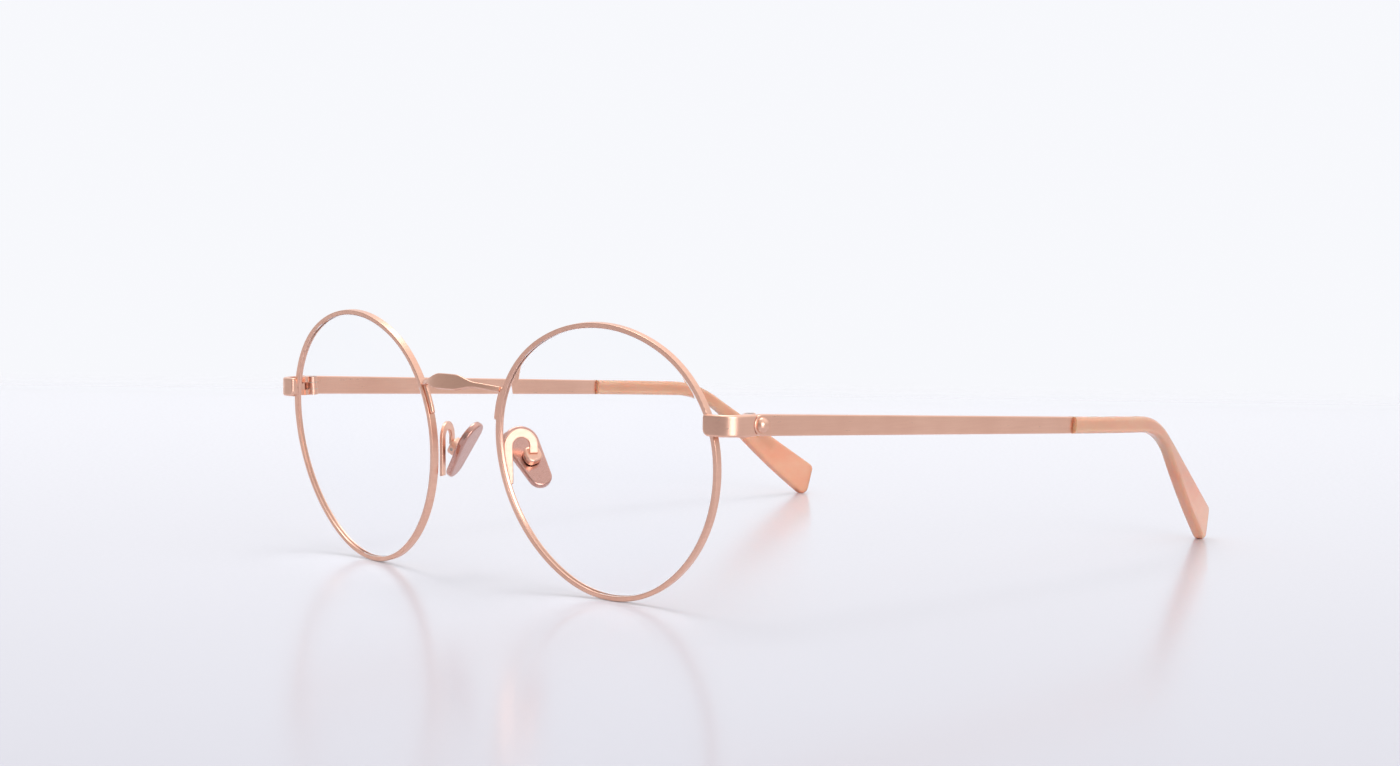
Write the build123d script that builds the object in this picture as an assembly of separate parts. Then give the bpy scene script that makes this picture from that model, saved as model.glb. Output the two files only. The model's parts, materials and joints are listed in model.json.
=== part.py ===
from build123d import *
import os
from math import asin, atan2, cos, degrees, hypot, radians, sin, tan

# Round wire eyeglasses, open and lying on a flat surface. Millimetres and degrees.
# +X is the wearer's left, +Y runs back along the temples, +Z is up. Z = 0 is the surface that the
# rims and the temple tips rest on. Each side is made for the wearer's left and mirrored.

# Front: two rims of grooved wire
lens_radius = 22.64
lens_distance = 18.2
corner_shift = 3.37
wire_width = 0.85
wire_depth = 1.35
wire_edge = 0.15
groove_depth = 0.28
groove_half = 0.34
wrap = 6.5
front_tilt = 6.75
rim_split = 0.12

# Lenses
lens_thickness = 1.2
lens_curve = 125.0
lens_clearance = 0.04

# Endpieces and closing blocks
endpiece_rise = 7.25
endpiece_height = 3.5
endpiece_thickness = 1.1
endpiece_inset = 0.08
endpiece_bend = 3.2
endpiece_low_round = 1.2
endpiece_top_round = 0.45
endpiece_edge = 0.38
block_inset = 0.88
block_width = 2.05
block_depth = 1.9
block_height = 1.45
rim_screw_radius = 0.4
rim_screw_inset = 1.2
rim_screw_head = 0.62

# Hinges
hinge_offset = 2.2
hinge_back = 7.5
hinge_tilt = 3.4
knuckle_radius = 0.95
middle_knuckle = 1.16
washer_thickness = 0.1
washer_gap = 0.02
pin_radius = 0.42
pin_clearance = 0.03
pin_head_radius = 0.7
pin_head_height = 0.4
slot_width = 0.22
slot_depth = 0.18
front_leaf_inner = 0.2
front_leaf_front = 3.4
front_leaf_back = 1.75
front_leaf_overlap = 0.25
front_web_length = 1.8
web_inset = 0.1

# Temples
splay = 2.9
bar_thickness = 1.1
bar_end_height = 3.1
bar_offset = 1.95
bar_length = 82.2
bar_edge = 0.25
nose_radius = 1.75
nose_start = 0.4
nose_gap = 0.3
rivet_radius = 1.3
rivet_proud = 1.0
rivet_shank = 0.45
temple_leaf_thickness = 0.45
temple_leaf_length = 3.2
temple_leaf_start = 1.25
temple_leaf_half = 1.25
temple_web_front = 0.3
temple_web_back = 2.0

# Temple tips, bent down behind the ear
tip_thickness = 2.5
tip_height = 3.15
tip_joint = 0.3
tip_plan_radius = 150.0
tip_plan_turn = 16.0
tip_top_start = 24.4
tip_top_radius = 24.0
tip_top_turn = 30.0
tip_top_length = 32.6
tip_low_start = 25.6
tip_low_radius = 21.0
tip_low_turn = 43.0
tip_belly_radius = 179.0
tip_belly_turn = 9.4
tip_corner = 1.5
tip_edge = 0.8
core_thickness = 0.9
core_height = 1.3
core_clearance = 0.03
core_knee_start = 25.0
core_knee_radius = 22.5
core_turn = 32.0
core_end = 19.0
core_root = 2.0

# Bridge: a wire flattened to a leaf, bowed forward, on two legs soldered to the rims
bridge_wire = 0.42
bridge_leg_low = 12.0
bridge_leg_high = 26.0
bridge_bow = 3.75
bridge_rise = 1.05
leaf_height = 2.7
leaf_end_height = 0.9
leaf_shoulder = 6.4
leaf_flat = 2.0
bridge_thickness = 0.95
bridge_edge = 0.18

# Nose pads on bent straps
pad_length = 12.3
pad_width = 6.3
pad_low_radius = 2.1
pad_thickness = 1.3
pad_edge = 0.4
pad_from_lens = -0.1
pad_back = 4.2
pad_drop = 1.95
pad_up = (-0.62, -0.057, 0.784)
pad_face = (-0.74, 0.39, -0.55)
box_size = 3.0
box_depth = 1.4
box_corner = 1.1
box_edge = 0.4
box_side_wall = 0.55
box_end_wall = 0.4
box_floor = 0.33
box_gap = 0.35
stud_clearance = 0.06
stud_half = 0.75
stud_depth = 1.0
stud_round = 0.35
pad_pin_radius = 0.32
pad_pin_depth = 0.63
arm_width = 0.6
arm_thickness = 1.5
arm_edge = 0.15
arm_seat = 0.08
arm_root_low = -5.8
arm_root_side = 22.9
arm_root_overlap = 0.06
arm_loop_radius = 2.25
arm_loop_rise = 3.5

# Worked out from the sizes above
rim_radius = lens_radius + wire_width / 2
rim_x = lens_distance / 2 + lens_radius
corner_reach = corner_shift * (1 - cos(radians(30)))
rim_reach = rim_radius + corner_reach + wire_width / 2
rim_z = rim_reach * cos(radians(front_tilt)) + wire_depth / 2 * sin(radians(front_tilt))
front = Location((rim_x, 0, rim_z), (front_tilt, 0, wrap))
hinge_x = rim_x + rim_radius + hinge_offset
hinge_z = rim_z + endpiece_rise
hinge = Location((hinge_x, hinge_back, hinge_z), (hinge_tilt, 0, 0))
knuckle_low = middle_knuckle / 2 + washer_thickness + 2 * washer_gap
knuckle_high = endpiece_height / 2


def outline(offset):
    """Rim outline of constant width: six tangent arcs about three centres, in the XZ plane."""
    arcs = []
    for corner in (30, 150, 270):
        centre = Vector(corner_shift, 0, 0).rotate(Axis.Z, corner)
        tight = rim_radius - corner_shift * cos(radians(30)) + offset
        flat = rim_radius + corner_shift * cos(radians(30)) + offset
        arcs.append(CenterArc((centre.X, centre.Y), tight, corner - 30, 60))
        arcs.append(CenterArc((centre.X, centre.Y), flat, corner + 150, 60))
    return Plane.XZ * make_face(arcs)


def bevel(edge, tip, half):
    """Disc with a V-shaped edge, the shape of both the rim groove and the lens bevel."""
    sections = [Pos(0, -half, 0) * outline(edge), outline(tip), Pos(0, half, 0) * outline(edge)]
    return loft(sections, ruled=True)


def strip(start, heading, runs, width):
    """Strip of one width in the XY plane; a run is (length, 0) or (bend radius, turn)."""
    sides = []
    for offset in (width / 2, -width / 2):
        tangent = Vector(1, 0, 0).rotate(Axis.Z, heading)
        point = Vector(*start) + Vector(0, offset, 0).rotate(Axis.Z, heading)
        edges = []
        for size, turn in runs:
            if turn == 0:
                edge = Line(point, point + tangent * size)
            else:
                radius = size - offset if turn > 0 else size + offset
                edge = JernArc(point, tangent, radius, turn)
                tangent = tangent.rotate(Axis.Z, turn)
            point = edge @ 1
            edges.append(edge)
        sides.append(edges)
    caps = [Line(sides[0][0] @ 0, sides[1][0] @ 0), Line(sides[0][-1] @ 1, sides[1][-1] @ 1)]
    return make_face(sides[0] + sides[1] + caps)


def block(x, y, z):
    """Box between two limits along each axis."""
    centre = Pos((x[0] + x[1]) / 2, (y[0] + y[1]) / 2, (z[0] + z[1]) / 2)
    return centre * Box(x[1] - x[0], y[1] - y[0], z[1] - z[0])


def pillar(radius, z):
    """Cylinder along Z between two heights."""
    return Pos(0, 0, (z[0] + z[1]) / 2) * Cylinder(radius, z[1] - z[0])


def rim():
    """Grooved wire loop, split on the temple side between the closing blocks."""
    ring = extrude(outline(wire_width / 2), wire_depth / 2, both=True)
    ring -= extrude(outline(-wire_width / 2), wire_depth, both=True)
    ring = fillet(ring.edges(), wire_edge)
    ring -= bevel(-wire_width / 2 - lens_clearance, groove_depth - wire_width / 2, groove_half)
    half = rim_split / 2
    slot = block((0, 2 * rim_radius), (-wire_depth, wire_depth), (-half, half))
    return front * ring - Pos(rim_x, 0, hinge_z) * slot


def lens():
    """Meniscus lens whose V edge sits in the rim groove."""
    edge = -wire_width / 2 - lens_clearance
    disc = extrude(outline(edge), 2 * lens_thickness + wire_depth, both=True)
    centre = Pos(0, (lens_curve**2 - lens_radius**2) ** 0.5, 0)
    shell = centre * (Sphere(lens_curve + lens_thickness / 2) - Sphere(lens_curve - lens_thickness / 2))
    return front * (disc & shell + bevel(edge, groove_depth - wire_width / 2 - lens_clearance, groove_half))


def endpiece_start():
    """Inner end of the endpiece's centre line, on the front face of the rim."""
    side = (rim_radius**2 - endpiece_rise**2) ** 0.5 - endpiece_inset
    place = front * Pos(side, -(wire_depth + endpiece_thickness) / 2, endpiece_rise)
    return place.position


def endpiece_runs():
    """Straight run along the rim, the bend and the leg that ends in front of the temple."""
    start = endpiece_start()
    ahead = (cos(radians(wrap)), sin(radians(wrap)))
    back = (sin(radians(splay)), cos(radians(splay)))
    gap = (hinge_x + bar_offset - start.X, hinge_back - start.Y)
    cross = ahead[0] * back[1] - ahead[1] * back[0]
    first = (gap[0] * back[1] - gap[1] * back[0]) / cross
    second = (ahead[0] * gap[1] - ahead[1] * gap[0]) / cross
    turn = 90 - splay - wrap
    tangent = endpiece_bend * tan(radians(turn / 2))
    return [(first - tangent, 0), (endpiece_bend, turn), (second - tangent, 0)]


def endpiece(rim_solid):
    """Flat strip in front of the rim, bent back towards the hinge, with a hollow rear end."""
    start = endpiece_start()
    plan = strip((start.X, start.Y), wrap, endpiece_runs(), endpiece_thickness)
    plate = Pos(0, 0, hinge_z) * extrude(plan, endpiece_height / 2, both=True)
    inner_end = plate.faces().sort_by(Axis.X)[0]
    plate = fillet(inner_end.edges().sort_by(Axis.Z)[0], endpiece_low_round)
    inner_end = plate.faces().sort_by(Axis.X)[0]
    plate = fillet(inner_end.edges().sort_by(Axis.Z)[-1], endpiece_top_round)
    outer = plate.faces().filter_by(GeomType.CYLINDER).sort_by(Axis.X)[-1]
    plate = fillet(outer.edges().filter_by(GeomType.CIRCLE), endpiece_edge)
    nose = Location((hinge_x, hinge_back + nose_start, hinge_z))
    hollow = Rot(0, 90, 0) * Cylinder(nose_radius + nose_gap, 4 * knuckle_radius + 2 * bar_offset)
    return plate - nose * hollow - rim_solid


def closing_blocks(rim_solid, endpiece_solid):
    """Upper and lower block soldered to the two rim ends behind the endpiece."""
    start = endpiece_start()
    place = Location((start.X, start.Y, hinge_z), (0, 0, wrap))
    depth = (endpiece_thickness / 2, endpiece_thickness / 2 + block_depth)
    pair = []
    for side in (1, -1):
        heights = sorted((side * rim_split / 2, side * block_height))
        body = block((block_inset, block_inset + block_width), depth, heights)
        axis = Pos(block_inset + rim_screw_inset, sum(depth) / 2, 0)
        body -= axis * pillar(rim_screw_radius + pin_clearance, (-2 * block_height, 2 * block_height))
        pair.append(place * body - rim_solid - endpiece_solid)
    shaft = pillar(rim_screw_radius, (-block_height, block_height - 0.1))
    head = pillar(rim_screw_head, (-block_height - pin_head_height, -block_height))
    bottom = -block_height - pin_head_height
    slot = block((-1, 1), (-slot_width / 2, slot_width / 2), (bottom - slot_depth, bottom + slot_depth))
    screw = place * (axis * (shaft + head - slot))
    return pair[0], pair[1], screw


def front_hinge(endpiece_solid):
    """Two knuckles with webs on a leaf soldered inside the endpiece's leg."""
    outer = bar_offset - endpiece_thickness / 2 + front_leaf_overlap
    lengths = (-front_leaf_front, -front_leaf_back)
    body = block((front_leaf_inner, outer), lengths, (-knuckle_high, knuckle_high))
    for side in (1, -1):
        heights = sorted((side * knuckle_low, side * knuckle_high))
        body += pillar(knuckle_radius, heights)
        body += block((-web_inset, knuckle_radius - web_inset / 2), (-front_web_length, 0), heights)
    body -= pillar(pin_radius + pin_clearance, (-2 * knuckle_high, 2 * knuckle_high))
    body -= pillar(pin_head_radius + pin_clearance, (knuckle_high - pin_head_height, 2 * knuckle_high))
    return hinge * body - endpiece_solid


def hinge_screw():
    """Slotted screw through the three knuckles, its head sunk in the upper one."""
    body = pillar(pin_radius, (-knuckle_high, knuckle_high - pin_head_height))
    body += pillar(pin_head_radius, (knuckle_high - pin_head_height, knuckle_high))
    half = slot_width / 2
    return hinge * (body - block((-1, 1), (-half, half), (knuckle_high - slot_depth, knuckle_high + 1)))


def hinge_washers():
    """Two thin washers between the knuckles."""
    rings = []
    for side in (1, -1):
        near = middle_knuckle / 2 + washer_gap
        heights = sorted((side * near, side * (near + washer_thickness)))
        ring = pillar(knuckle_radius - 0.05, heights) - pillar(pin_radius + pin_clearance, heights)
        rings.append(hinge * ring)
    return Compound(children=rings)


def plan_band(thickness, start):
    """Solid band seen from above: straight along the bar, bent inward, then straight again."""
    runs = [(bar_length - start, 0), (tip_plan_radius, tip_plan_turn), (2 * tip_top_length, 0)]
    face = strip((bar_offset, start), 90, runs, thickness)
    return extrude(face, 2 * tip_top_length, both=True)


def side_solid(face):
    """Side view in the YZ plane made into a solid wide enough to be cut by a plan band."""
    return extrude(Plane.YZ * face, 2 * tip_top_length, both=True)


def core(clearance):
    """Flattened wire that runs on from the bar inside the tip."""
    runs = [(core_knee_start + core_root, 0), (core_knee_radius, -core_turn), (core_end, 0)]
    face = strip((bar_length - core_root, 0), 0, runs, core_height + 2 * clearance)
    return side_solid(face) & plan_band(core_thickness + 2 * clearance, bar_length / 2)


def temple_bar():
    """Flat bar with a round nose at the hinge, tapering slightly to the tip's core wire."""
    face = make_hull(
        [CenterArc((nose_start, 0), nose_radius, 0, 360)]
        + [Line((bar_length, -bar_end_height / 2), (bar_length, bar_end_height / 2))]
    )
    bar = extrude(Plane.YZ * face, bar_thickness / 2, both=True)
    bar = fillet(bar.edges().filter_by(Axis.X, reverse=True), bar_edge)
    hole = Pos(0, nose_start, 0) * (Rot(0, 90, 0) * Cylinder(rivet_shank, 4 * bar_thickness))
    return Pos(bar_offset, 0, 0) * (bar - hole) + core(0)


def rivet():
    """Domed button on the outer face of the nose, with its shank through the bar."""
    rise = rivet_proud * 0.75
    dome = ThreePointArc((rivet_proud, 0), (rise, rivet_radius * 0.62), (0, rivet_radius))
    steps = Polyline((0, rivet_radius), (0, rivet_shank), (-bar_thickness, rivet_shank), (-bar_thickness, 0))
    button = revolve(make_face([dome, steps, Line((-bar_thickness, 0), (rivet_proud, 0))]), Axis.X)
    return Pos(bar_offset + bar_thickness / 2, nose_start, 0) * button


def tip():
    """Moulded temple tip: slim where it meets the bar, flaring behind the ear to a slanted end."""
    start = bar_length + tip_joint
    top = Line((start, tip_height / 2), (bar_length + tip_top_start, tip_height / 2))
    knee = JernArc(top @ 1, (1, 0), tip_top_radius, -tip_top_turn)
    back = PolarLine(knee @ 1, tip_top_length, -tip_top_turn)
    low = Line((start, -tip_height / 2), (bar_length + tip_low_start, -tip_height / 2))
    hollow = JernArc(low @ 1, (1, 0), tip_low_radius, -tip_low_turn)
    belly = JernArc(hollow @ 1, hollow % 1, tip_belly_radius, tip_belly_turn)
    ends = [Line(back @ 1, belly @ 1), Line(low @ 0, top @ 0)]
    face = make_face([top, knee, back, low, hollow, belly] + ends)
    corners = face.vertices().sort_by(Axis.X)[-2:]
    face = fillet(corners, tip_corner)
    body = side_solid(face) & plan_band(tip_thickness, bar_length / 2)
    body = fillet(body.edges().filter_by(GeomType.LINE, reverse=True), tip_edge)
    return body - core(core_clearance)


def temple_place(slope):
    """Frame of the temple on the hinge: Y along the bar, which slopes down and splays out."""
    return Location((hinge_x, hinge_back, hinge_z), (-slope, 0, -splay))


def resting_slope(tip_solid):
    """Downward slope of the temple that lays the lowest point of its tip on the surface."""
    slope = 2.0
    for _ in range(4):
        lowest = (temple_place(slope) * tip_solid).bounding_box().min.Z
        slope += degrees(lowest / (bar_length + 2 * tip_top_length))
    return slope


def temple_hinge(temple, bar_solid, rivet_solid):
    """Middle knuckle and the leaf fixed to the inner face of the bar."""
    inner = bar_offset - bar_thickness / 2
    half = middle_knuckle / 2
    body = pillar(knuckle_radius, (-half, half))
    body += block((web_inset, inner), (-temple_web_front, temple_web_back), (-half, half))
    body -= pillar(pin_radius + pin_clearance, (-middle_knuckle, middle_knuckle))
    lengths = (temple_leaf_start, temple_leaf_start + temple_leaf_length)
    leaf = block((inner - temple_leaf_thickness, inner), lengths, (-temple_leaf_half, temple_leaf_half))
    return hinge * body + temple * leaf - bar_solid - rivet_solid


def leaf_edge(half, side):
    """Upper or lower edge of the leaf: wire at both ends, full height in the middle."""
    ends = side * leaf_end_height / 2
    full = side * leaf_height / 2
    right = [(leaf_flat, full), (leaf_shoulder, ends), (half, ends)]
    points = [(-x, z) for x, z in reversed(right)] + right
    return Spline(points, tangents=[(1, 0)] * len(points))


def bridge(rim_solids):
    """Leaf bowed forward over the nose with a wire leg soldered to each rim."""
    reach = rim_radius - corner_shift * cos(radians(30)) + wire_width / 2 + bridge_wire
    centre = Vector(corner_shift, 0, 0).rotate(Axis.Z, 150)
    arc = CenterArc((centre.X, centre.Y), reach, 180 - bridge_leg_high, bridge_leg_high - bridge_leg_low)
    leg_path = front * (Plane.XZ * arc)
    leg = sweep(Plane(leg_path @ 0, z_dir=leg_path % 0) * Circle(bridge_wire), path=leg_path)
    foot = Pos(*(leg_path @ 1)) * Sphere(bridge_wire)
    corner = leg_path @ 0
    half = corner.X
    plane = Plane((0, corner.Y, corner.Z), x_dir=(1, 0, 0), z_dir=(0, -bridge_rise, -bridge_bow))
    bow = hypot(bridge_bow, bridge_rise)
    turn = 4 * degrees(atan2(bow, half))
    radius = (half**2 + bow**2) / (2 * bow)
    band = strip((-half, 0), turn / 2, [(radius, -turn)], bridge_thickness)
    band = extrude(plane * band, leaf_height, both=True)
    edge_top = leaf_edge(half, 1)
    edge_low = leaf_edge(half, -1)
    ends = [Line(edge_top @ 0, edge_low @ 0), Line(edge_top @ 1, edge_low @ 1)]
    face = make_face([edge_top, edge_low] + ends)
    sheet = Plane(plane.origin, x_dir=(1, 0, 0), z_dir=plane.y_dir)
    leaf = band & extrude(sheet * face, 2 * bow, both=True)
    leaf = fillet(leaf.edges().filter_by(lambda e: e.length > half), bridge_edge)
    elbow = Pos(*corner) * Sphere(leaf_end_height / 2)
    limb = leg + foot + elbow
    return leaf + limb + mirror(limb, about=Plane.YZ) - rim_solids[0] - rim_solids[1]


def pad_plane():
    """Frame of the pad: X across, Y up its length, Z the face that lies on the nose."""
    face = Vector(*pad_face).normalized()
    up = Vector(*pad_up).normalized()
    centre = (lens_distance / 2 + pad_from_lens, pad_back, rim_z - pad_drop)
    return Plane(centre, x_dir=up.cross(face), z_dir=face)


def nose_pad(place):
    """Teardrop plate with a stud on its back that rocks in the box."""
    top = pad_width / 2
    length = pad_length - top - pad_low_radius
    face = make_hull(
        [CenterArc((0, length / 2), top, 0, 360), CenterArc((0, -length / 2), pad_low_radius, 0, 360)]
    )
    plate = fillet(extrude(face, pad_thickness / 2, both=True).edges(), pad_edge)
    back = -pad_thickness / 2
    half = box_size / 2 - box_side_wall - stud_clearance
    stud = block((-half, half), (-stud_half, stud_half), (back - box_gap - stud_depth, back))
    pin = Pos(0, 0, back - box_gap - pad_pin_depth)
    hole = pin * (Rot(0, 90, 0) * Cylinder(pad_pin_radius + pin_clearance, box_size))
    stud = fillet(stud.edges().filter_by(Axis.X).sort_by(Axis.Z)[:2], stud_round)
    return place * (plate + (stud - hole))


def pad_box(place):
    """Small round-cornered box at the end of the strap, and the pin across it."""
    front_face = -pad_thickness / 2 - box_gap
    half = box_size / 2
    body = block((-half, half), (-half, half), (front_face - box_depth, front_face))
    body = fillet(body.edges().filter_by(Axis.Z), box_corner)
    body = fillet(body.faces().sort_by(Axis.Z)[0].edges(), box_edge)
    side = half - box_side_wall
    end = half - box_end_wall
    body -= block((-side, side), (-end, end), (front_face - box_depth + box_floor, front_face + box_gap))
    axis = Pos(0, 0, front_face - pad_pin_depth) * Rot(0, 90, 0)
    hole = axis * Cylinder(pad_pin_radius, 2 * box_size)
    return place * (body - hole), place * (axis * Cylinder(pad_pin_radius, box_size))


def pad_arm(place, rim_solid, box_solid):
    """Strap from the back of the rim, over a loop, down to the back of the box."""
    behind = (wire_depth + arm_thickness) / 2 - arm_root_overlap
    root = (front * Pos(-arm_root_side, behind, arm_root_low)).position
    back = -pad_thickness / 2 - box_gap - box_depth
    target = (place * Pos(0, 0, back - arm_seat)).position
    across = Vector(target.X - root.X, target.Y - root.Y, 0)
    plane = Plane(root, x_dir=across, z_dir=across.cross(Vector(0, 0, 1)))
    centre = Vector(across.length - arm_loop_radius, arm_loop_rise + target.Z - root.Z - arm_loop_radius)
    up_run = (centre.length**2 - arm_loop_radius**2) ** 0.5
    lean = degrees(atan2(centre.X, centre.Y) - asin(arm_loop_radius / centre.length))
    runs = [(up_run, 0), (arm_loop_radius, -180 + lean), (arm_loop_rise - arm_loop_radius, 0)]
    face = strip((0, 0), 90 - lean, runs, arm_thickness)
    strap = extrude(face, arm_width / 2, both=True)
    sides = strap.faces().sort_by(Axis.Z)
    strap = fillet(sides[0].edges() + sides[-1].edges(), arm_edge)
    half = box_size / 2
    inside = place * block((-half, half), (-half, half), (back + box_floor / 2, 0))
    return plane * strap - inside - rim_solid - box_solid


def build_side():
    """Every piece of the wearer's left side, by node name."""
    rim_solid = rim()
    endpiece_solid = endpiece(rim_solid)
    upper, lower, rim_screw = closing_blocks(rim_solid, endpiece_solid)
    place = pad_plane()
    box_solid, pin_solid = pad_box(place)
    tip_solid = tip()
    temple = temple_place(resting_slope(tip_solid))
    bar_solid = temple * temple_bar()
    rivet_solid = temple * rivet()
    return {
        "rim": rim_solid,
        "lens": lens(),
        "endpiece": endpiece_solid,
        "closing_block_upper": upper,
        "closing_block_lower": lower,
        "rim_screw": rim_screw,
        "hinge_front": front_hinge(endpiece_solid),
        "hinge_temple": temple_hinge(temple, bar_solid, rivet_solid),
        "hinge_screw": hinge_screw(),
        "hinge_washers": hinge_washers(),
        "temple_bar": bar_solid,
        "temple_rivet": rivet_solid,
        "temple_tip": temple * tip_solid,
        "pad_arm": pad_arm(place, rim_solid, box_solid),
        "pad_box": box_solid,
        "pad_pin": pin_solid,
        "nose_pad": nose_pad(place),
    }


def build_all():
    """Both sides and the bridge, moved so that the origin is under the middle of the whole."""
    nodes = {}
    for name, solid in build_side().items():
        nodes[name + "_left"] = solid
        nodes[name + "_right"] = mirror(solid, about=Plane.YZ)
    nodes["bridge"] = bridge([nodes["rim_left"], nodes["rim_right"]])
    boxes = [solid.bounding_box() for solid in nodes.values()]
    middle = Pos(0, -(min(box.min.Y for box in boxes) + max(box.max.Y for box in boxes)) / 2, 0)
    return {name: middle * solid for name, solid in nodes.items()}


os.makedirs("parts", exist_ok=True)
for node, shape in build_all().items():
    export_step(shape, "parts/" + node + ".step")
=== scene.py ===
import json
from math import cos, radians, sin

import bpy
from mathutils import Matrix, Vector


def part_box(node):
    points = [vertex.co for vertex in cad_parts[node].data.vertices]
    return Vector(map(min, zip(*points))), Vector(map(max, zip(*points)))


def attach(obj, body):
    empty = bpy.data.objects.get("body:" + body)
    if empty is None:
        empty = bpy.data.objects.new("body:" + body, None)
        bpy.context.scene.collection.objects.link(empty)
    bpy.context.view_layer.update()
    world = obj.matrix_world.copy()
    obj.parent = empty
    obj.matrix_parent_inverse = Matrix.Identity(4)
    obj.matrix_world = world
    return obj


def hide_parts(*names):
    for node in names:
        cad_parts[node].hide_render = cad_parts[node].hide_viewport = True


# Round wire eyeglasses, open on a pale table. Metres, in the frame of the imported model.

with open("model.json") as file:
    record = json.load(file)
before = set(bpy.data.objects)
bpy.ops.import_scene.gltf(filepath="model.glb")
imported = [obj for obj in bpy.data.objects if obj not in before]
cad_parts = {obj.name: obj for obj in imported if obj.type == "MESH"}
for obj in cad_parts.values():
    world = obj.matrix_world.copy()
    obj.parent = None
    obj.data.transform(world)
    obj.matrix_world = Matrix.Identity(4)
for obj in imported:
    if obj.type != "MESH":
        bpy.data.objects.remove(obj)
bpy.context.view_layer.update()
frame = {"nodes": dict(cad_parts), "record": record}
MM = 0.001


# ---------------------------------------------------------------- node helpers


def linear(red, green, blue):
    """Display colour, 0 to 255, as a linear RGBA."""
    rgba = []
    for value in (red / 255, green / 255, blue / 255):
        rgba.append(value / 12.92 if value <= 0.04045 else ((value + 0.055) / 1.055) ** 2.4)
    return (*rgba, 1.0)


def mapped(tree, value, source, target, smooth=False):
    """Map Range node that moves a factor from one range to another."""
    node = tree.nodes.new("ShaderNodeMapRange")
    if smooth:
        node.interpolation_type = "SMOOTHSTEP"
    for socket, number in zip(("From Min", "From Max", "To Min", "To Max"), (*source, *target)):
        node.inputs[socket].default_value = number
    tree.links.new(value, node.inputs["Value"])
    return node.outputs["Result"]


def combined(tree, operation, first, second):
    """Math node on two values."""
    node = tree.nodes.new("ShaderNodeMath")
    node.operation = operation
    tree.links.new(first, node.inputs[0])
    tree.links.new(second, node.inputs[1])
    return node.outputs["Value"]


class Surface:
    """A node material built round one Principled shader, with textures in metres."""

    def __init__(self, name):
        self.material = bpy.data.materials.new(name)
        self.material.use_nodes = True
        self.tree = self.material.node_tree
        self.nodes = self.tree.nodes
        self.links = self.tree.links
        self.shader = self.nodes["Principled BSDF"]
        self.place = self.nodes.new("ShaderNodeTexCoord").outputs["Object"]

    def set(self, **values):
        """Plain values on the shader's own sockets; an underscore stands for a space."""
        for name, value in values.items():
            self.shader.inputs[name.replace("_", " ")].default_value = value

    def stretched(self, scale):
        """Coordinates scaled by a different amount along each axis."""
        mapping = self.nodes.new("ShaderNodeMapping")
        mapping.inputs["Scale"].default_value = scale
        self.links.new(self.place, mapping.inputs["Vector"])
        return mapping.outputs["Vector"]

    def noise(self, scale, detail, roughness, place=None):
        """Noise factor with a given number of cells per metre."""
        node = self.nodes.new("ShaderNodeTexNoise")
        node.inputs["Scale"].default_value = scale
        node.inputs["Detail"].default_value = detail
        node.inputs["Roughness"].default_value = roughness
        self.links.new(place or self.place, node.inputs["Vector"])
        return node.outputs["Fac"]

    def remap(self, value, source, target):
        """A factor moved from one range to another, clamped."""
        return mapped(self.tree, value, source, target)

    def mix(self, factor, first, second):
        """Colour mix; each colour is a plain one or a socket."""
        node = self.nodes.new("ShaderNodeMix")
        node.data_type = "RGBA"
        self.links.new(factor, node.inputs["Factor"])
        for socket, colour in ((node.inputs[6], first), (node.inputs[7], second)):
            if isinstance(colour, tuple):
                socket.default_value = colour
            else:
                self.links.new(colour, socket)
        return node.outputs[2]

    def bump(self, height, strength, distance, below=None):
        """Bump from a height, on top of another bump if one is given."""
        node = self.nodes.new("ShaderNodeBump")
        node.inputs["Strength"].default_value = strength
        node.inputs["Distance"].default_value = distance
        self.links.new(height, node.inputs["Height"])
        if below is not None:
            self.links.new(below, node.inputs["Normal"])
        return node.outputs["Normal"]

    def link(self, value, socket):
        """Joins a value to one of the shader's sockets."""
        self.links.new(value, self.shader.inputs[socket])

    def show_through(self, factor, colour):
        """Shows a transparent shader in place of the main one where the factor is 1."""
        clear = self.nodes.new("ShaderNodeBsdfTransparent")
        clear.inputs["Color"].default_value = colour
        either = self.nodes.new("ShaderNodeMixShader")
        self.links.new(factor, either.inputs["Fac"])
        self.links.new(self.shader.outputs["BSDF"], either.inputs[1])
        self.links.new(clear.outputs["BSDF"], either.inputs[2])
        self.links.new(either.outputs["Shader"], self.nodes["Material Output"].inputs["Surface"])


# ---------------------------------------------------------------- materials

ROSE, ROSE_WORN = linear(247, 200, 176), linear(228, 176, 152)
# The pads' copy of the rose plating is darker than the frame's. This is painted shade on the same metal,
# and its worn tone is darkened to match.
PAD_ROSE_SHADED, PAD_WORN_SHADED = linear(216, 172, 158), linear(190, 142, 130)
STEEL, STEEL_DARK = linear(196, 182, 172), linear(150, 138, 130)
NYLON, NYLON_DARK = linear(226, 220, 206), linear(206, 198, 182)
LENS_CLEAN, LENS_SMEARED = linear(255, 255, 255), linear(252, 253, 255)
LENS_SHADOW = (0.97, 0.972, 0.975, 1.0)
PEACH, PEACH_DEEP, PEACH_FLECK = linear(255, 200, 166), linear(255, 180, 144), linear(255, 210, 186)
LENS_IOR, ACETATE_IOR = 1.04, 1.48
BRUSHED_ALONG = (900.0, 120.0, 2600.0)
BRUSHED_DOWN = (1500.0, 1500.0, 500.0)


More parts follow.
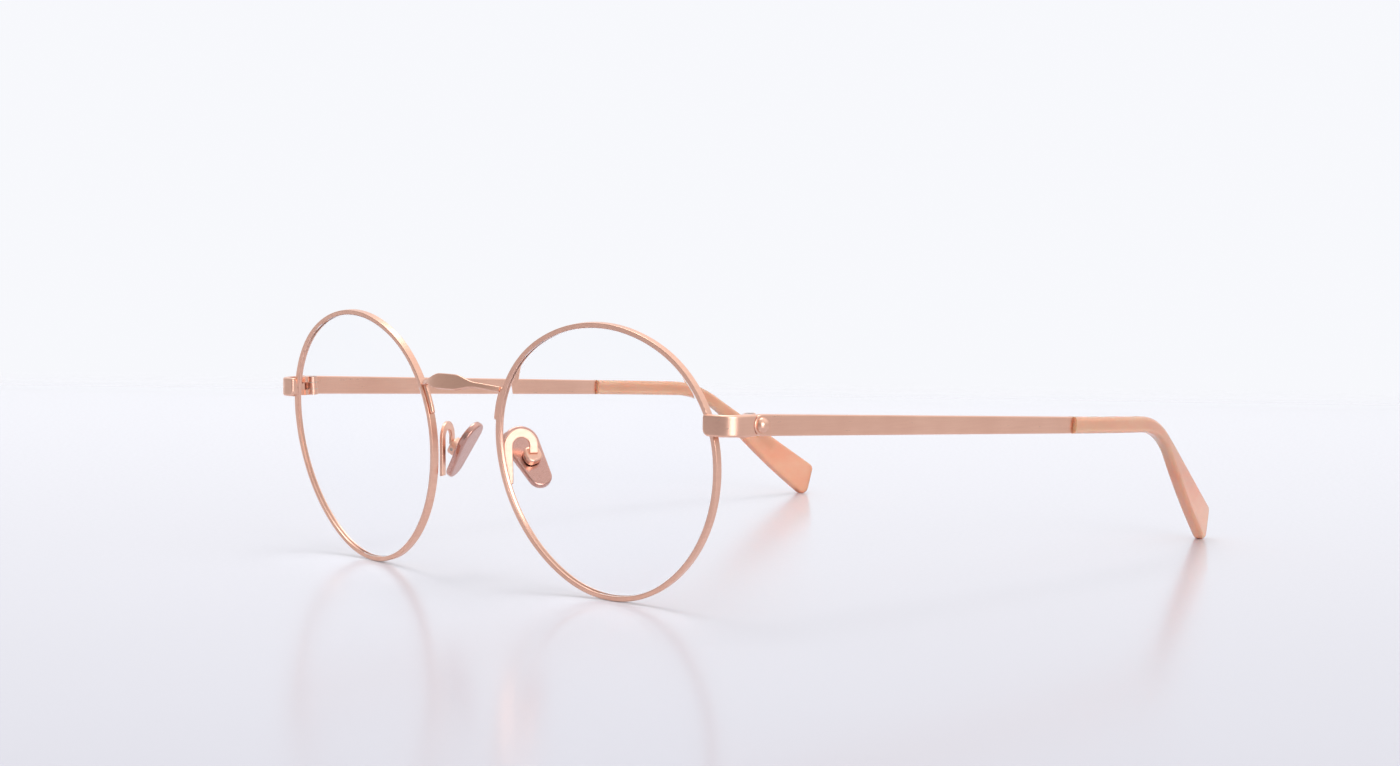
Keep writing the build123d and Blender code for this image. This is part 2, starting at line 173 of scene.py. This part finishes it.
def plated_metal(name, base, worn, roughness, brush):
    """Rose-gold plating: even satin tone, fine polishing lines and small handling marks."""
    surface = Surface(name)
    surface.set(Metallic=1.0)
    cloud = surface.noise(90, 4, 0.5)
    fine = surface.noise(3400, 6, 0.6)
    lines = surface.noise(1.0, 5, 0.65, surface.stretched(brush))
    tone = surface.mix(surface.remap(cloud, (0.3, 0.7), (0, 0.55)), base, worn)
    drawn = surface.mix(surface.remap(lines, (0.35, 0.7), (0, 0.35)), tone, worn)
    speck = surface.remap(fine, (0.64, 0.76), (0, 0.4))
    surface.link(surface.mix(speck, drawn, worn), "Base Color")
    surface.link(surface.remap(lines, (0.3, 0.7), roughness), "Roughness")
    marks = surface.bump(fine, 0.04, 0.000005)
    surface.link(surface.bump(lines, 0.06, 0.00001, marks), "Normal")
    return surface.material


def turned_steel(name):
    """Small screws: turned steel with fine machining marks."""
    surface = Surface(name)
    surface.set(Metallic=1.0)
    marks = surface.noise(5200, 5, 0.6)
    dark = surface.remap(marks, (0.4, 0.65), (0, 1))
    surface.link(surface.mix(dark, STEEL, STEEL_DARK), "Base Color")
    surface.link(surface.remap(marks, (0.3, 0.7), (0.26, 0.44)), "Roughness")
    surface.link(surface.bump(marks, 0.2, 0.00002), "Normal")
    return surface.material


def nylon(name):
    """Natural nylon washers."""
    surface = Surface(name)
    grain = surface.noise(4000, 4, 0.6)
    surface.link(surface.mix(grain, NYLON, NYLON_DARK), "Base Color")
    surface.link(surface.remap(grain, (0.3, 0.7), (0.45, 0.6)), "Roughness")
    surface.link(surface.bump(grain, 0.15, 0.00002), "Normal")
    return surface.material


def clear_lens(name):
    """Clear lens: faint smears and dust, and almost no shadow."""
    surface = Surface(name)
    surface.set(Transmission_Weight=1.0, IOR=LENS_IOR)
    smear = surface.noise(70, 5, 0.6, surface.stretched((1.0, 1.0, 2.2)))
    dust = surface.noise(5200, 3, 0.5)
    surface.link(surface.mix(smear, LENS_CLEAN, LENS_SMEARED), "Base Color")
    surface.link(surface.remap(smear, (0.52, 0.75), (0.0, 0.035)), "Roughness")
    surface.link(surface.bump(dust, 0.015, 0.000005), "Normal")
    path = surface.nodes.new("ShaderNodeLightPath")
    surface.show_through(path.outputs["Is Shadow Ray"], LENS_SHADOW)
    return surface.material


def acetate(name):
    """Polished peach acetate: translucent, with soft clouds of colour in its depth."""
    surface = Surface(name)
    surface.set(IOR=ACETATE_IOR, Coat_Weight=0.25, Coat_Roughness=0.06, Transmission_Weight=0.4)
    surface.set(Subsurface_Weight=0.6, Subsurface_Radius=(1.0, 0.4, 0.28), Subsurface_Scale=0.0022)
    cloud = surface.noise(120, 6, 0.6, surface.stretched((1.0, 0.45, 1.0)))
    fleck = surface.noise(1500, 4, 0.55)
    tone = surface.mix(surface.remap(cloud, (0.35, 0.68), (0, 1)), PEACH, PEACH_DEEP)
    pale = surface.remap(fleck, (0.6, 0.75), (0, 0.25))
    surface.link(surface.mix(pale, tone, PEACH_FLECK), "Base Color")
    surface.link(surface.remap(cloud, (0.3, 0.7), (0.1, 0.2)), "Roughness")
    surface.link(surface.bump(fleck, 0.05, 0.00002), "Normal")
    return surface.material


skins = {
    "frame_metal": plated_metal("frame_metal", ROSE, ROSE_WORN, (0.27, 0.35), BRUSHED_ALONG),
    # Pads: the same plating, made darker as painted shade.
    "pad_metal": plated_metal("pad_metal", PAD_ROSE_SHADED, PAD_WORN_SHADED, (0.18, 0.28), BRUSHED_DOWN),
    "screw_steel": turned_steel("screw_steel"),
    "washer_nylon": nylon("washer_nylon"),
    "lens_clear": clear_lens("lens_clear"),
    "tip_acetate": acetate("tip_acetate"),
}
for part in frame["record"]["subparts"]:
    node = frame["nodes"][part["node"]]
    for place in node.material_slots:
        place.material = skins[part["material_slot"]]


# ---------------------------------------------------------------- lens meshes

# The lens is a rounded shape of constant width, three arcs drawn tight and three drawn flat.
LENS_RADIUS = 22.64 * MM
CORNER_SHIFT = 3.37 * MM
CLEARANCE = 0.05 * MM
BEVEL = 0.28 * MM
BEVEL_HALF = 0.34 * MM
LENS_CURVE = 125.0 * MM
LENS_THICKNESS = 1.2 * MM
WRAP, FRONT_TILT = radians(6.5), radians(6.75)
RIM_STEPS = 240
RINGS = 24
ARC = 60


def outline_point(turn, offset):
    """Point of the outline where its outward normal has this direction, in the lens plane."""
    middle_of_arc = turn // ARC * ARC + ARC / 2
    reach = LENS_RADIUS + offset
    if turn // ARC % 2 == 0:
        corner = middle_of_arc
        reach -= CORNER_SHIFT * cos(radians(ARC / 2))
    else:
        corner = middle_of_arc + 180
        reach += CORNER_SHIFT * cos(radians(ARC / 2))
    x = CORNER_SHIFT * cos(radians(corner)) + reach * cos(radians(turn))
    z = CORNER_SHIFT * sin(radians(corner)) + reach * sin(radians(turn))
    return Vector((x, 0, z))


def outline_row(offset):
    """The whole outline as one row of points."""
    return [outline_point(360 * step / RIM_STEPS, offset) for step in range(RIM_STEPS)]


def lens_mesh(name, side):
    """Meniscus with a V-shaped edge, as fine rings of quads; side is 1 for left, -1 for right."""
    rim_low, rim_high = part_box("rim_left" if side > 0 else "rim_right")
    turn = Matrix.Rotation(FRONT_TILT, 3, "X") @ Matrix.Rotation(side * WRAP, 3, "Z")
    lift = Vector((0, 0, CORNER_SHIFT * (1 - cos(radians(ARC / 2)))))
    centre = (rim_low + rim_high) / 2 + turn @ lift
    back_of_ball = (LENS_CURVE**2 - LENS_RADIUS**2) ** 0.5
    front_ball = LENS_CURVE + LENS_THICKNESS / 2
    back_ball = LENS_CURVE - LENS_THICKNESS / 2

    border = outline_row(-CLEARANCE)

    def ring_on_ball(ring, ball):
        """The outline drawn in towards the middle and laid on a sphere."""
        row = [point * (ring / RINGS) for point in border]
        return [Vector((p.x, back_of_ball - (ball**2 - p.x**2 - p.z**2) ** 0.5, p.z)) for p in row]

    rows = [ring_on_ball(ring, front_ball) for ring in range(1, RINGS + 1)]
    ridge = outline_row(BEVEL - 2 * CLEARANCE)
    bevel = ((border, -BEVEL_HALF), (ridge, 0), (border, BEVEL_HALF))
    for row, shift in bevel:
        rows.append([Vector((p.x, shift, p.z)) for p in row])
    rows += [ring_on_ball(ring, back_ball) for ring in range(RINGS, 0, -1)]
    points = [point for row in rows for point in row]
    points += [Vector((0, back_of_ball - ball, 0)) for ball in (front_ball, back_ball)]
    faces = []
    for row in range(len(rows) - 1):
        for step in range(RIM_STEPS):
            after = (step + 1) % RIM_STEPS
            first, second = row * RIM_STEPS, (row + 1) * RIM_STEPS
            faces.append((first + step, second + step, second + after, first + after))
    last = (len(rows) - 1) * RIM_STEPS
    for step in range(RIM_STEPS):
        after = (step + 1) % RIM_STEPS
        faces.append((len(points) - 2, step, after))
        faces.append((len(points) - 1, last + after, last + step))
    if side < 0:
        points = [Vector((-p.x, p.y, p.z)) for p in points]
        faces = [tuple(reversed(face)) for face in faces]
    mesh = bpy.data.meshes.new(name)
    mesh.from_pydata([centre + turn @ point for point in points], [], faces)
    mesh.polygons.foreach_set("use_smooth", [True] * len(faces))
    mesh.update()
    edges = {tuple(sorted(edge.vertices)): edge for edge in mesh.edges}
    for row in range(RINGS - 1, RINGS + 3):
        for step in range(RIM_STEPS):
            pair = (row * RIM_STEPS + step, row * RIM_STEPS + (step + 1) % RIM_STEPS)
            edges[tuple(sorted(pair))].use_edge_sharp = True
    mesh.materials.append(skins["lens_clear"])
    piece = bpy.data.objects.new(name, mesh)
    bpy.context.scene.collection.objects.link(piece)
    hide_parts("lens_left" if side > 0 else "lens_right")
    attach(piece, "front")


lens_mesh("fine_lens_left", 1)
lens_mesh("fine_lens_right", -1)


# ---------------------------------------------------------------- stage

YAW, PITCH, ROLL = radians(43.128), radians(3.65), radians(0.847)
HALF_WIDTH = 3.0
TABLE_FRONT, TABLE_BACK = -2.4, 0.56
FADE_NEAR, FADE_FAR = 0.37, 0.52
WALL_AWAY, WALL_LOW, WALL_HIGH = 2.5, -1.2, 2.2
WALL_COLOUR, WALL_STRENGTH = linear(249, 250, 254), 0.985
TABLE_IOR, TABLE_SPECULAR = 1.4, 0.4
# The table's near and far colours differ only as painted shade near the camera and painted light far
# from it.
NEAR_TABLE_SHADED, NEAR_TABLE_SHADED_SPECK = linear(205, 204, 212), linear(202, 201, 209)
FAR_TABLE_LIT, FAR_TABLE_LIT_SPECK = linear(228, 228, 233), linear(225, 225, 231)
CLEAR = (1.0, 1.0, 1.0, 1.0)


def table_material():
    """Pale glossy table top, painted darker near the camera and lighter away from it as painted shade
    and light; its far edge fades into the bright wall behind it.
    """
    surface = Surface("table")
    surface.set(IOR=TABLE_IOR, Specular_IOR_Level=TABLE_SPECULAR)
    grain = surface.noise(900, 4, 0.6)
    surface.link(surface.remap(grain, (0.3, 0.7), (0.17, 0.2)), "Roughness")
    axes = surface.nodes.new("ShaderNodeSeparateXYZ")
    surface.links.new(surface.place, axes.inputs["Vector"])
    # Painted shade and light: the top darkens towards the camera and lightens away from it.
    away = surface.remap(axes.outputs["Y"], (-0.25, 0.35), (0, 1))
    near = surface.mix(grain, NEAR_TABLE_SHADED, NEAR_TABLE_SHADED_SPECK)
    far = surface.mix(grain, FAR_TABLE_LIT, FAR_TABLE_LIT_SPECK)
    surface.link(surface.mix(away, near, far), "Base Color")
    fade = mapped(surface.tree, axes.outputs["Y"], (FADE_NEAR, FADE_FAR), (0, 1), smooth=True)
    surface.show_through(fade, CLEAR)
    return surface.material


def flat_panel(name, corners, turn, material):
    """Four-cornered stage panel, turned about Z to face the camera."""
    mesh = bpy.data.meshes.new(name)
    mesh.from_pydata(corners, [], [(0, 1, 2, 3)])
    mesh.materials.append(material)
    panel = bpy.data.objects.new(name, mesh)
    panel.rotation_euler = (0, 0, turn)
    bpy.context.scene.collection.objects.link(panel)


def wall_material():
    """Evenly lit pale wall."""
    wall = bpy.data.materials.new("wall")
    wall.use_nodes = True
    nodes = wall.node_tree.nodes
    glow = nodes.new("ShaderNodeEmission")
    glow.inputs["Color"].default_value = WALL_COLOUR
    glow.inputs["Strength"].default_value = WALL_STRENGTH
    wall.node_tree.links.new(glow.outputs["Emission"], nodes["Material Output"].inputs["Surface"])
    return wall


def area_light(name, place, target, size, power, colour):
    """Soft rectangular lamp aimed at a point."""
    lamp = bpy.data.lights.new(name, "AREA")
    lamp.shape = "RECTANGLE"
    lamp.size, lamp.size_y = size
    lamp.energy = power
    lamp.color = colour
    holder = bpy.data.objects.new(name, lamp)
    holder.location = place
    aim = Vector(target) - Vector(place)
    holder.rotation_euler = aim.to_track_quat("-Z", "Y").to_euler()
    bpy.context.scene.collection.objects.link(holder)


# The surround brightens from its sides to its top and dims towards the camera's side. A soft window
# on the right gives the metal its highlight.
WORLD_COLOUR = linear(250, 250, 253)
SIDES, TOP, TOP_HEIGHT = 0.66, 1.25, 0.8
DIM, DIM_FROM, DIM_TO = 0.5, -0.9, 0.6
GLOW_TOWARDS = (0.9, -0.38, 0.26)
GLOW_CORE, GLOW_EDGE = 5.0, 24.0
GLOW_STRENGTH = 4.5
LAMP_PLACE, LAMP_TARGET = (-0.2, 0.1, 0.8), (0.0, -0.02, 0.02)
LAMP_SIZE, LAMP_POWER, LAMP_COLOUR = (0.4, 0.4), 2.0, (1.0, 0.99, 0.98)


def world_light():
    """Studio surround with one soft window."""
    world = bpy.data.worlds.new("studio")
    world.use_nodes = True
    tree = world.node_tree
    where = tree.nodes.new("ShaderNodeTexCoord").outputs["Generated"]
    axes = tree.nodes.new("ShaderNodeSeparateXYZ")
    tree.links.new(where, axes.inputs["Vector"])
    rise = mapped(tree, axes.outputs["Z"], (0.0, TOP_HEIGHT), (SIDES, TOP))
    depth = mapped(tree, axes.outputs["Y"], (DIM_FROM, DIM_TO), (DIM, 1.0))
    facing = tree.nodes.new("ShaderNodeVectorMath")
    facing.operation = "DOT_PRODUCT"
    tree.links.new(where, facing.inputs[0])
    facing.inputs[1].default_value = Vector(GLOW_TOWARDS).normalized()
    reach = (cos(radians(GLOW_EDGE)), cos(radians(GLOW_CORE)))
    window = mapped(tree, facing.outputs["Value"], reach, (0.0, GLOW_STRENGTH), smooth=True)
    total = combined(tree, "ADD", combined(tree, "MULTIPLY", rise, depth), window)
    back = tree.nodes["Background"]
    tree.links.new(total, back.inputs["Strength"])
    back.inputs["Color"].default_value = WORLD_COLOUR
    bpy.context.scene.world = world


table_corners = [
    (-HALF_WIDTH, TABLE_FRONT, 0), (HALF_WIDTH, TABLE_FRONT, 0),
    (HALF_WIDTH, TABLE_BACK, 0), (-HALF_WIDTH, TABLE_BACK, 0)
]
flat_panel("table_top", table_corners, YAW, table_material())
wall_corners = [
    (-HALF_WIDTH, WALL_AWAY, WALL_LOW), (HALF_WIDTH, WALL_AWAY, WALL_LOW),
    (HALF_WIDTH, WALL_AWAY, WALL_HIGH), (-HALF_WIDTH, WALL_AWAY, WALL_HIGH)
]
flat_panel("back_wall", wall_corners, YAW, wall_material())
world_light()
area_light("top_lamp", LAMP_PLACE, LAMP_TARGET, LAMP_SIZE, LAMP_POWER, LAMP_COLOUR)


# ---------------------------------------------------------------- camera

# The eye is measured from the line through the lens centres, which lies this far in front of the origin.
LENS_LINE = -0.0725998
FOCAL = 58.51
SENSOR = 36.0
CLIP_START = 0.005
EYE = Vector((0.2997, -0.2634 + LENS_LINE, 0.0608))


def place_camera():
    """Camera at the viewing angle, level apart from a slight roll."""
    ahead = Vector((-sin(YAW) * cos(PITCH), cos(YAW) * cos(PITCH), -sin(PITCH)))
    flat_right = Vector((cos(YAW), sin(YAW), 0))
    flat_up = flat_right.cross(ahead)
    right = flat_right * cos(ROLL) + flat_up * sin(ROLL)
    up = flat_up * cos(ROLL) - flat_right * sin(ROLL)
    camera = bpy.data.cameras.new("camera")
    camera.lens = FOCAL
    camera.sensor_width = SENSOR
    camera.clip_start = CLIP_START
    holder = bpy.data.objects.new("camera", camera)
    turn = Matrix((right, up, -ahead)).transposed()
    holder.matrix_world = Matrix.Translation(EYE) @ turn.to_4x4()
    bpy.context.scene.collection.objects.link(holder)
    bpy.context.scene.camera = holder


place_camera()
bpy.context.scene.view_settings.view_transform = "Standard"
